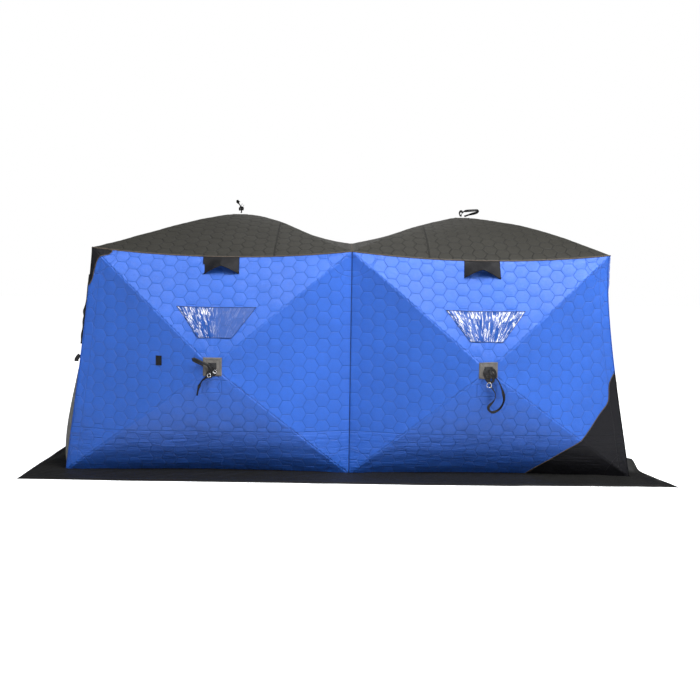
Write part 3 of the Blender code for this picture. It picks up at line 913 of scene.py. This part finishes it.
def grown(polygon, by):
    """A convex polygon with each side moved out."""
    lines = [(out, out @ a + by) for a, out in sides_of(polygon)]
    pairs = zip(lines[-1:] + lines, lines)
    return np.array([np.linalg.solve(np.array([n1, n2]), np.array([c1, c2])) for (n1, c1), (n2, c2) in pairs])


def polygon_area(polygon):
    p, q = np.array(polygon), np.roll(polygon, -1, axis=0)
    return abs(float((p[:, 0] * q[:, 1] - p[:, 1] * q[:, 0]).sum())) / 2


def make_panels():
    for key, panel in panels.items():
        words = GUSSETS[key.split("_")[0]]
        for i, word in enumerate(words):
            outline = [panel.flat[i], panel.flat[(i + 1) % 4], np.zeros(2)]
            hole = None
            if key == "end_left" and word == "front":
                hole = grown(door_outline(panel), 0.002)
            ob = cloth_piece(f"{key}_cloth_{word}", panel, i, outline, hole)
            _, _, length, _, distance = panel.edge(i)
            cut = length * distance / 2
            if hole is not None:
                cut = max(cut - polygon_area(hole), LEAST_SHARE * length * distance)
            panel.blend(ob, i)
            if i == 0:
                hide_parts(panel.name)
            if hole is not None:
                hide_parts("door_surround")


make_panels()
END_LEFT = panels["end_left"]
DOOR_GUSSET = 3


# ---- door


def make_door():
    outline = door_outline(END_LEFT)
    leaf = cloth_piece("door_leaf_cloth", END_LEFT, DOOR_GUSSET, outline)
    joint = joints["door_swing"]
    axis, hinge = Vector(joint["axis"]), Vector(joint["pos_m"])
    inward = END_LEFT.out.cross(axis).normalized()
    middle = outline.mean(0)
    if inward.dot(END_LEFT.base + END_LEFT.across * middle[0] + END_LEFT.up * middle[1] - hinge) < 0:
        inward = -inward
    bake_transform(leaf)
    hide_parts("door_leaf")
    flat, faces = cut_lattice(grown(outline, ZIP_WIDTH), STEP, grown(outline, 0.001))
    points = END_LEFT.place(DOOR_GUSSET, *flat.T, 0.4, lift=0.003)
    tape = mesh_object("door_zip_tape", points, faces, ["tape"])
    add_cut(tape, flat)
    thicken(tape, 0.0015)
    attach(tape, "door_surround")
    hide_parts("door_zip")


make_door()


# ---- windows


def make_window(side):
    panel = panels[f"front_{side}"]
    (left, bottom), (right, top) = [panel.in_plane(p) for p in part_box(f"front_window_{side}")]
    middle, half_top, height = (left + right) / 2, (right - left) / 2, top - bottom
    half_bottom = half_top * WINDOW_TAPER
    wide = half_top - half_bottom
    ends = [(-half_top, top), (-half_bottom, bottom), (half_bottom, bottom), (half_top, top)]
    flat, faces = cut_lattice([(middle + x, y) for x, y in ends], 0.009)
    x, y = flat.T
    half = half_bottom + wide * (y - bottom) / height
    fan = (x - middle) / half
    creases = noise(fan * 9 + noise(x * 12, y * 12, 31), y * 9, 32 if side == "left" else 33)
    inset = np.minimum(np.minimum(y - bottom, top - y), 0.02) / 0.02
    # The left film is smooth towards its right end.
    amount = 1 - ease(fan, -0.35, 0.15) * 0.80 if side == "left" else np.ones(x.shape)
    lift = 0.006 + 0.0035 * creases * np.clip(inset, 0, 1) * amount
    ob = mesh_object(f"{side}_window_film", panel.place(0, x, y, 0.0, lift=lift), faces, ["film"])
    add_cut(ob, flat)
    aside = (half - np.abs(x - middle)) * math.sin(math.atan2(height, wide))
    within = np.minimum(np.minimum(y - bottom, top - y), aside)
    add_values(ob, crinkled=amount, fan=fan, inset=within)
    thicken(ob, 0.0012)
    panel.blend(ob, 0)
    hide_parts(f"front_window_{side}")
    2 * half_top
    (half_top + half_bottom) * height
    line = panel.place(0, middle + np.linspace(-1, 1, 40) * half_top, np.full(40, top), 0.0, lift=0.0055)
    panel.blend(tube(f"{side}_window_top_seam", line, 0.0026, "dark_binding"), 0)


for side in ("left", "right"):
    make_window(side)


# ---- vent hoods


def make_hood(side):
    """A flap sewn along the eave: its middle is held off the wall, and its lower corners hang in points."""
    low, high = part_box(f"vent_hood_{side}")
    middle = (low.x + high.x) / 2
    top = panels[f"front_{side}"].corners
    eave = seam_line(top[0], top[1], 201)
    eave = eave[np.argsort(eave[:, 0])]

    def layer(name, shape, surfaces):
        rows, columns = 14, 37
        points, flat = [], []
        for v in np.linspace(0, 1, rows):
            for u in np.linspace(-1, 1, columns):
                x = middle + u * HOOD_HALF * (0.985 + 0.03 * v)
                y, z = [np.interp(x, eave[:, 0], eave[:, k]) for k in (1, 2)]
                drop, reach = shape(u, v)
                points.append((x, y - reach - WALL_SLOPE * drop, z - drop))
                flat.append((u * HOOD_HALF, -v * 0.14))
        ob = mesh_object(name, points, [face[::-1] for face in grid(rows, columns)], surfaces)
        add_cut(ob, flat)
        return ob, np.array(points[-columns:])

    lean = 0.25 if side == "left" else -0.15

    def flap(u, v):
        arch = max(0.0, 1 - abs(u - lean * 0.3) ** 1.25)
        drop = 0.002 + (0.132 - 0.068 * arch) * v
        reach = 0.008 + 0.058 * math.sin(v * 1.5) * arch + 0.012 * v
        reach += 0.004 * math.sin(7 * u + 2 * v + lean * 9) * v
        return drop, reach

    def back(u, v):
        return 0.004 + (0.128 - 0.026 * (1 - u * u)) * v, 0.006 - 0.010 * v

    ob, rim = layer(f"{side}_vent_hood", flap, ["nylon", "lining"])
    thicken(ob, 0.0022, lining=1)
    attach(ob, "root")
    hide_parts(f"vent_hood_{side}")
    hem = tube(f"{side}_vent_hem", rim, 0.0030, "webbing")
    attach(hem, "root")
    inner, _ = layer(f"{side}_vent_mesh", back, ["mesh"])
    thicken(inner, 0.0015)
    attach(inner, "root")


# ---- piping and seams


def make_trim():
    for side, word in ((-1, "left"), (1, "right")):
        runs = {
            f"{word}_eave_piping": (corner(side, -1, 1), corner(0, -1, 1), 0.0048, "piping"),
            f"{word}_back_eave_piping": (corner(side, 1, 1), corner(0, 1, 1), 0.0048, "piping"),
            f"{word}_end_eave_piping": (corner(side, -1, 1), corner(side, 1, 1), 0.0048, "piping"),
            f"{word}_back_corner_seam": (corner(side, 1, 1), corner(side, 1, 0), 0.0040, "blue_binding"),
        }
        for name, (a, b, radius, surface) in runs.items():
            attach(tube(name, seam_line(a, b), radius, surface), "root")
        # Black from the cap down on the left, and from the patch down on the right.
        line = seam_line(corner(side, -1, 1), corner(side, -1, 0), 61)
        change = 10 if side < 0 else 32
        colours = ("nylon", "blue_binding") if side < 0 else ("blue_binding", "nylon")
        for part, piece, surface in zip(("upper", "lower"), (line[: change + 1], line[change:]), colours):
            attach(tube(f"{word}_front_corner_{part}", piece, 0.0038, surface), "root")
    for end, word in ((-1, "front"), (1, "back")):
        line = seam_line(corner(0, end, 1), corner(0, end, 0))
        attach(tube(f"{word}_middle_seam", line, 0.0027, "dark_binding"), "root")
    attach(tube("valley_seam", seam_line(corner(0, -1, 1), corner(0, 1, 1)), 0.0040, "piping"), "root")


def owner(panel, x, y):
    """Which of the panel's gussets a place is in."""
    for i in range(4):
        a, b = panel.flat[i], panel.flat[(i + 1) % 4]
        share = np.linalg.solve(np.array([a, b]).T, np.array([x, y]))
        if share.min() >= 0:
            return i
    return 0


def make_patch_piping():
    """Narrow tan binding along the edge of each black patch, one run to a gusset."""
    for key, outline in PATCHES.items():
        panel = panels[key]
        line = smooth_line(outline, 150)
        owners = [owner(panel, x, y) for x, y in line]
        inside = [panel.share(k, *place[:, None])[1][0] > 0.0015 for k, place in zip(owners, line)]
        start = 0
        for k in range(1, len(line) + 1):
            if k < len(line) and owners[k] == owners[start] and inside[k] == inside[start]:
                continue
            if inside[start] and k - start > 2:
                run = line[start : min(k + 1, len(line))]
                points = panel.place(owners[start], *run.T, 0.0, lift=0.0025)
                word = GUSSETS[key.split("_")[0]][owners[start]]
                ob = tube(f"{key}_patch_piping_{word}", points, 0.0030, "piping")
                panel.blend(ob, owners[start])
            start = k


def make_corner_pieces():
    """The rolled flap, its tie and the grey binding down the left front corner."""
    line = seam_line(corner(-1, -1, 1), corner(-1, -1, 0), 101)
    out = np.array([-0.8, 0.35, 0.0])
    share = np.linspace(0, 1, 20)
    thick = 0.008 + 0.012 * np.exp(-(((share - 0.86) / 0.10) ** 2))
    spine = line[12:32] + out * (0.004 + 0.65 * thick + 0.003 * noise(share * 7, 0.0, 61))[:, None]
    points, faces = sweep(spine, round_section(1.0, 10), facing=out, sizes=thick * 0.62)
    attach(mesh_object("left_corner_flap_roll", points, faces, ["nylon"]), "root")
    straps = {
        "left_corner_tie": (line[31:44] + out * (0.012 + 0.004 * np.sin(np.arange(13)))[:, None], 0.016),
        "left_corner_tie_tab": (line[48:52] + out * np.array([0.012, 0.030, 0.042, 0.040])[:, None], 0.030),
    }
    for name, (path, width) in straps.items():
        ring, faces = sweep(path, strap_section(width, 0.004), facing=np.array([0.3, -1.0, 0.0]))
        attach(mesh_object(name, ring, faces, ["webbing"]), "root")
    points, flat = [], []
    for j in range(54, 97):
        wide = 0.034 * math.sin(math.pi * ((j - 54) / 42) ** 1.5) ** 0.7 + 0.002
        for m in range(4):
            points.append(line[j] + np.array([-0.95, 0.30, 0.0]) * (0.004 + wide * m / 3))
            flat.append((m * 0.01, j * 0.02))
    strip = mesh_object("left_corner_binding", points, grid(43, 4), ["tape"])
    add_cut(strip, flat)
    thicken(strip, 0.0016, 0.0)
    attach(strip, "root")


def make_tag():
    panel = panels["front_left"]
    x, y = np.meshgrid(np.linspace(-0.434, -0.388, 6), np.linspace(-0.001, 0.071, 8))
    points = panel.place(3, x.ravel(), y.ravel(), 0.0, lift=0.003)
    tag = mesh_object("black_tag", points, grid(8, 6), ["nylon"])
    thicken(tag, 0.0012, 1.0)
    panel.blend(tag, 3)


make_trim()
make_patch_piping()
make_corner_pieces()
make_tag()
for side in ("left", "right"):
    make_hood(side)


# ---- ground skirt


def fold_height(x, y):
    """How high the skirt's two folds by the right front corner stand."""
    upright = math.exp(-(((x - 2.205) / 0.078) ** 4) - ((y + 0.98) / 0.060) ** 2)
    low = math.exp(-(((x - 2.30) / 0.03) ** 2) - ((y + 1.28) / 0.10) ** 2)
    return 0.100 * upright + 0.022 * low


def make_skirt():
    inner_x, inner_y = BASE_X - 0.030, BASE_Y - 0.050
    outer_x, outer_y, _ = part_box("ground_skirt")[1]
    turns = np.array([(-1, -1), (1, -1), (1, 1), (-1, 1)])
    corners_in, corners_out = turns * (inner_x, inner_y), turns * (outer_x, outer_y)
    rows, step = 16, 0.022
    points, flat = [], []
    run, count = 0.0, 0
    for k in range(4):
        a, b, c, d = corners_in[k], corners_in[(k + 1) % 4], corners_out[k], corners_out[(k + 1) % 4]
        steps = int(np.linalg.norm(d - c) / step)
        count += steps
        for s in np.arange(steps) / steps:
            run += step
            inner, outer = a * (1 - s) + b * s, c * (1 - s) + d * s
            middle = 4 * s * (1 - s)
            away = (outer - inner) / np.linalg.norm(outer - inner)
            edge_wave = 0.014 * float(noise(run * 1.1, k * 7.0, 41)) + 0.006 * float(noise(run * 5.0, k, 42))
            end = outer + away * (edge_wave * min(1.0, middle * 4) + 0.020 * middle)
            if outer[0] > outer_x - 0.001:
                # The right side is ragged, and drawn in by its front end.
                near = float(1 - ease(outer[1], -0.8, -0.1))
                end = end + away * 0.012 * float(noise(run * 7.0, 3.0, 45)) * near
                end = end - away * 0.15 * float(ease(outer[1], -outer_y, -1.12)) * near
            for v in np.linspace(0, 1, rows):
                p = inner * (1 - v) + end * v
                wrinkle = 0.5 + 0.5 * float(noise(run * 3.2 + v * 1.5, v * 1.7, 43))
                crease = 0.5 + 0.5 * float(noise(run * 13.0 + v * 4.0, v * 3.0, 44))
                arch = max(0.0, math.sin(math.pi * v))
                z = 0.004 + 0.013 * wrinkle * arch**0.7 + 0.009 * crease * arch
                z += 0.014 * math.exp(-v / 0.08) + 0.004 * math.exp(-(((v - 0.93) / 0.03) ** 2))
                points.append((p[0], p[1], z + fold_height(p[0], p[1])))
                flat.append((run, v * 0.27))
    ob = mesh_object("ground_skirt_cloth", points, grid(count, rows, close=True), ["skirt"])
    add_cut(ob, flat)
    thicken(ob, 0.0015)
    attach(ob, "root")
    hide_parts("ground_skirt")


make_skirt()


# ---- hub patches, straps and small parts


def hub_place(panel, x, y, z):
    """A point by a hub: right and up across its plate's seat, and out from it."""
    return panel.base + panel.out * (panel.rise + z) + panel.across * x + panel.up * y


def make_patch(key, panel):
    """The hemmed square of grey cloth round a hub's plate, in four parts that follow the four gussets."""
    half, words = PATCH_HALF, GUSSETS[key.split("_")[0]]
    square = half * np.array([(-1, 1), (1, 1), (1, -1), (-1, -1)])
    for i, word in enumerate(words):
        ends = [np.array(panel.flat[(i + k) % 4]) for k in (0, 1)]
        # Where the gusset's two folds leave the square, and the square's corners between them.
        ends = [e * half / np.abs(e).max() for e in ends]
        between = [c for c in square if owner(panel, *c) == i]
        between = [c for c in between if min(np.hypot(*(c - e)) for e in ends) > 0.002]
        flat, faces = cut_lattice([ends[0], *between, ends[1], np.zeros(2)], 0.0055)
        x, y = flat.T
        edge = half - np.maximum(np.abs(x), np.abs(y))
        lift = 0.0030 + 0.0028 * np.exp(-(((edge - 0.010) / 0.006) ** 2)) + 0.0008 * noise(x * 60, y * 60, 51)
        points = panel.place(i, x, y, 0.0, lift=lift + 0.0016 * ease(edge, 0.020, 0.034))
        ob = mesh_object(f"{key}_hub_patch_{word}", points, faces, ["patch"])
        add_cut(ob, flat)
        thicken(ob, 0.0012)
        panel.blend(ob, i)


for key, panel in panels.items():
    make_patch(key, panel)


def make_strap(key, route):
    panel = panels[key]
    line = smooth_line([hub_place(panel, *place) for place in route], 40)
    facing = np.array(panel.out) if not panel.roof else np.array([0.25, -1.0, 0.1])
    faces_out = np.broadcast_to(facing, line.shape).copy()
    twist = np.linspace(0, 1, len(line))
    faces_out += np.outer(np.sin(twist * 8.0 + 0.6) * 2.6, np.array(panel.across))
    ring, faces = sweep(line, strap_section(STRAP_WIDTH, STRAP_THICKNESS), facing=faces_out)
    ob = mesh_object(f"{key}_strap_webbing", ring, faces, ["webbing"])
    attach(ob, panel.hub)
    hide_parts(f"{key}_pull_strap")
    "object" if key == "roof_right" else "bare"


for key, route in STRAPS.items():
    make_strap(key, route)


# Short runs of webbing gathered at the hubs, as (right, up, out) from the middle of the hub's plate.
KNOTS = {
    "front_left": [
        [
            (0.00, 0.00, 0.020), (-0.06, 0.030, 0.032), (-0.128, 0.060, 0.028),
            (-0.132, 0.048, 0.038), (-0.06, 0.012, 0.040),
        ],
        [
            (0.00, 0.01, 0.021), (-0.02, -0.03, 0.036), (-0.034, -0.062, 0.030),
            (-0.010, -0.074, 0.026), (0.014, -0.03, 0.030),
        ],
        [(-0.03, 0.014, 0.022), (0.00, -0.02, 0.038), (0.028, -0.038, 0.028), (0.010, -0.062, 0.024)],
    ],
    "front_right": [
        [
            (0.00, 0.00, 0.020), (0.022, -0.028, 0.036), (0.036, -0.062, 0.030),
            (0.014, -0.086, 0.026), (-0.006, -0.05, 0.036),
        ],
        [(-0.026, 0.012, 0.021), (-0.034, -0.02, 0.034), (-0.018, -0.06, 0.030), (0.006, -0.088, 0.026)],
        [(0.018, 0.024, 0.021), (0.040, 0.000, 0.036), (0.050, -0.036, 0.028), (0.030, -0.058, 0.024)],
    ],
    "roof_left": [
        [(-0.012, 0.00, 0.040), (-0.014, 0.004, 0.062), (0.012, 0.002, 0.066), (0.012, -0.004, 0.042)],
    ],
    "roof_right": [
        [(-0.004, 0.00, 0.022), (-0.016, 0.004, 0.048), (-0.002, 0.002, 0.068), (0.014, -0.004, 0.050)],
    ],
}
# Metal rings by the hubs: place as above, width, height and turn.
RINGS = {
    "front_left": [(-0.019, -0.061, 0.034, 0.026, 0.030, 0.3), (0.023, -0.033, 0.036, 0.022, 0.026, -0.5)],
    "front_right": [(0.004, -0.104, 0.030, 0.034, 0.042, 0.1)],
    "roof_left": [(0.014, -0.010, 0.088, 0.018, 0.026, -0.6)],
}


def make_hub_trim():
    for key, runs in KNOTS.items():
        panel = panels[key]
        for k, run in enumerate(runs):
            line = smooth_line([hub_place(panel, *place) for place in run], 22)
            facing = np.array((0.3, -1.0, 0.2) if panel.roof else panel.out, float)
            turning = np.array(panel.across if panel.roof else panel.up)
            turning = np.sin(np.linspace(0, 5, 22) + k)[:, None] * turning
            ring, faces = sweep(line, strap_section(0.019, 0.0024), facing=facing + 0.6 * turning)
            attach(mesh_object(f"{key}_webbing_fold_{k}", ring, faces, ["webbing"]), panel.hub)
    for key, rings in RINGS.items():
        panel = panels[key]
        for k, (x, y, z, wide, tall, turn) in enumerate(rings):
            line = []
            for a in np.linspace(0, 2 * math.pi, 28, endpoint=False):
                # Flattened below, as a D ring is.
                p, q = wide / 2 * math.cos(a), max(tall / 2 * math.sin(a), -0.34 * tall)
                across, up = p * math.cos(turn) - q * math.sin(turn), p * math.sin(turn) + q * math.cos(turn)
                # A roof's ring stands on it, and a wall's lies against it.
                rise, out = (0.0, up) if panel.roof else (up, 0.0)
                line.append(hub_place(panel, x + across, y + rise, z + out))
            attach(tube(f"{key}_ring_{k}", line, 0.0021, "ring", closed=True), panel.hub)


make_hub_trim()


for name, node in frame["nodes"].items():
    if name.endswith("_hub") or "_pole_" in name:
        surface = materials["hub" if name.endswith("_hub") else "pole"]
        node.data.materials.clear()
        node.data.materials.append(surface)


# ---- floor


def make_floor():
    n = Nodes("floor")
    place = n.own_place()
    n.finish(
        n.mix(n.noise(place, 0.7, 2.0), (0.86, 0.86, 0.86), (0.90, 0.90, 0.90)),
        0.8,
        n.bump(n.noise(place, 60.0), 0.0005, 0.2),
        Emission_Color=(1.0, 1.0, 1.0),
        Emission_Strength=1.0,
        Specular_IOR_Level=0.1,
    )
    materials["floor"] = n.material
    corners = [(30.0 * x, 30.0 * y, 0.0) for x, y in ((-1, -1), (1, -1), (1, 1), (-1, 1))]
    floor = mesh_object("ground", corners, [(0, 1, 2, 3)], ["floor"])
    # The floor neither shows nor adds shade, as in a picture cut out onto white.
    floor.visible_diffuse = False
    floor.visible_shadow = False


make_floor()
